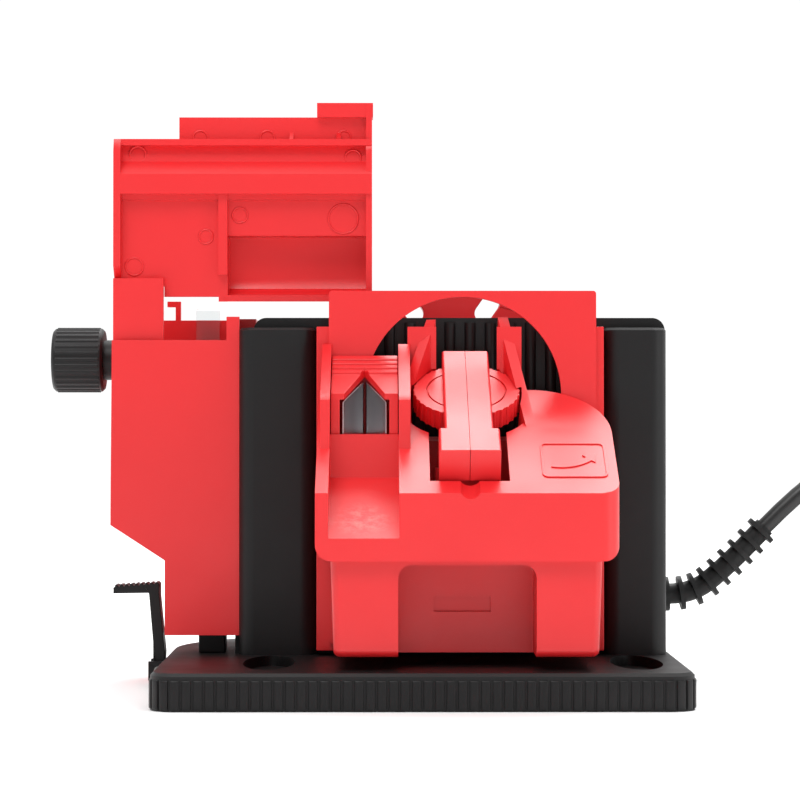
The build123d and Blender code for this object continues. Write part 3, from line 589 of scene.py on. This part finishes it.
def addRockerMarks():
    # a bar and a ring on the rocker's two halves, laid on its own sloping faces
    bm = bmesh.new()
    low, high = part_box("switch_rocker")
    midY, midZ = (low.y + high.y) / 2, (low.z + high.z) / 2
    w, proud, steps = rockerSpec["wide"] / 2, rockerSpec["proud"], rockerSpec["steps"]
    tops = [f for f in nodes["switch_rocker"].data.polygons if f.normal.x > rockerSpec["facing"]]
    for sign in (1, -1):
        faces = [f for f in tops if (f.center.z - midZ) * sign > 0]
        normal = sum((f.normal * f.area for f in faces), Vector()).normalized()
        near = sum((f.center * f.area for f in faces), Vector()) / sum(f.area for f in faces)
        across = Vector((0, 1, 0))
        up = normal.cross(across).normalized()
        mid = Vector((near.x, midY, near.z)) + normal * proud * mm * 0.4
        if sign > 0:                                      # the bar
            half = rockerSpec["bar"] / 2
            shape = [(-half, -w), (half, -w), (half, w), (-half, w)]
            low4, top4 = ([bm.verts.new(mid + (up * a + across * b + normal * h) * mm) for a, b in shape]
                          for h in (0, proud))
            bm.faces.new(top4)
            bm.faces.new(low4[::-1])
            for i in range(4):
                j = (i + 1) % 4
                bm.faces.new((low4[i], low4[j], top4[j], top4[i]))
            continue
        rows = []
        for i in range(steps):                            # the ring
            a = 2 * math.pi * i / steps
            out = up * math.cos(a) + across * math.sin(a)
            rows.append([bm.verts.new(mid + (out * (rockerSpec["ring"] + d) + normal * h) * mm)
                         for d, h in ((w, 0), (w, proud), (-w, proud), (-w, 0))])
        bandBetween(bm, rows)
    return place(finishMesh("rockerMarks", bm, smooth=False), "rocker", markPaint)


addRings()
addSlopeMark()
addRockerMarks()
print("raised marks made")

# floor and soft studio light

studioSpec = dict(floor="#FAFAFA", floorHalf=30, aim=(0, 0, 0.1), sky="#FFFFFF", skyStrength=(0.3, 1.04, 1.35),
                  lights=[("keyLight", (-0.5, -1.1, 1.7), 0.8, 15.5), ("fillLight", (1.6, -0.9, 0.5), 0.9, 5.0),
                          ("slopeLight", (0.35, 1.0, 1.7), 1.1, 26.0)])


def addStudio():
    bm = bmesh.new()
    for x, y in ((-1, -1), (1, -1), (1, 1), (-1, 1)):
        bm.verts.new((x * studioSpec["floorHalf"], y * studioSpec["floorHalf"], 0))
    bm.faces.new(bm.verts)
    floor = finishMesh("studioFloor", bm)
    material, tree, coords = newMaterial("mattFloorPaint")
    tone = addNode(tree, "ShaderNodeTexNoise", {"Scale": 1.5}, {"Vector": coords})
    rough = addNode(tree, "ShaderNodeMapRange", {"To Min": 0.6, "To Max": 0.8}, {"Value": tone.outputs["Fac"]})
    shader = addNode(tree, "ShaderNodeBsdfPrincipled", {"Base Color": hexToLinear(studioSpec["floor"]),
                                                        "Specular IOR Level": 0.2}, {"Roughness": rough.outputs[0]})
    closeMaterial(tree, shader)
    floor.data.materials.append(material)
    bpy.context.scene.view_settings.view_transform = "Standard"
    world = bpy.data.worlds.new("studioWorld")
    bpy.context.scene.world = world
    world.use_nodes = True
    tree = world.node_tree
    back = tree.nodes["Background"]
    back.inputs[0].default_value = hexToLinear(studioSpec["sky"])
    around = addNode(tree, "ShaderNodeTexCoord").outputs["Generated"]
    ways = addNode(tree, "ShaderNodeSeparateXYZ", links={0: around})
    # dim room in front, lit paper sweep behind, soft box overhead
    dim, bright, above = studioSpec["skyStrength"]
    sweep = addNode(tree, "ShaderNodeMapRange", {"From Min": -0.7, "From Max": 0.5, "To Min": dim, "To Max": bright},
                    {"Value": ways.outputs["Y"]}, interpolation_type="SMOOTHSTEP")
    over = addNode(tree, "ShaderNodeMapRange", {"From Min": 0.35, "From Max": 0.8, "To Min": 0.0, "To Max": above},
                   {"Value": ways.outputs["Z"]}, interpolation_type="SMOOTHSTEP")
    level = addNode(tree, "ShaderNodeMath", {}, {0: sweep.outputs[0], 1: over.outputs[0]}, operation="MAXIMUM")
    tree.links.new(level.outputs[0], back.inputs[1])
    for name, spot, size, power in studioSpec["lights"]:
        data = bpy.data.lights.new(name, "AREA")
        data.size, data.energy = size, power
        light = linkObject(name, data)
        light.location = spot
        light.rotation_euler = (Vector(studioSpec["aim"]) - Vector(spot)).to_track_quat("-Z", "Y").to_euler()


addStudio()
print("studio lit")
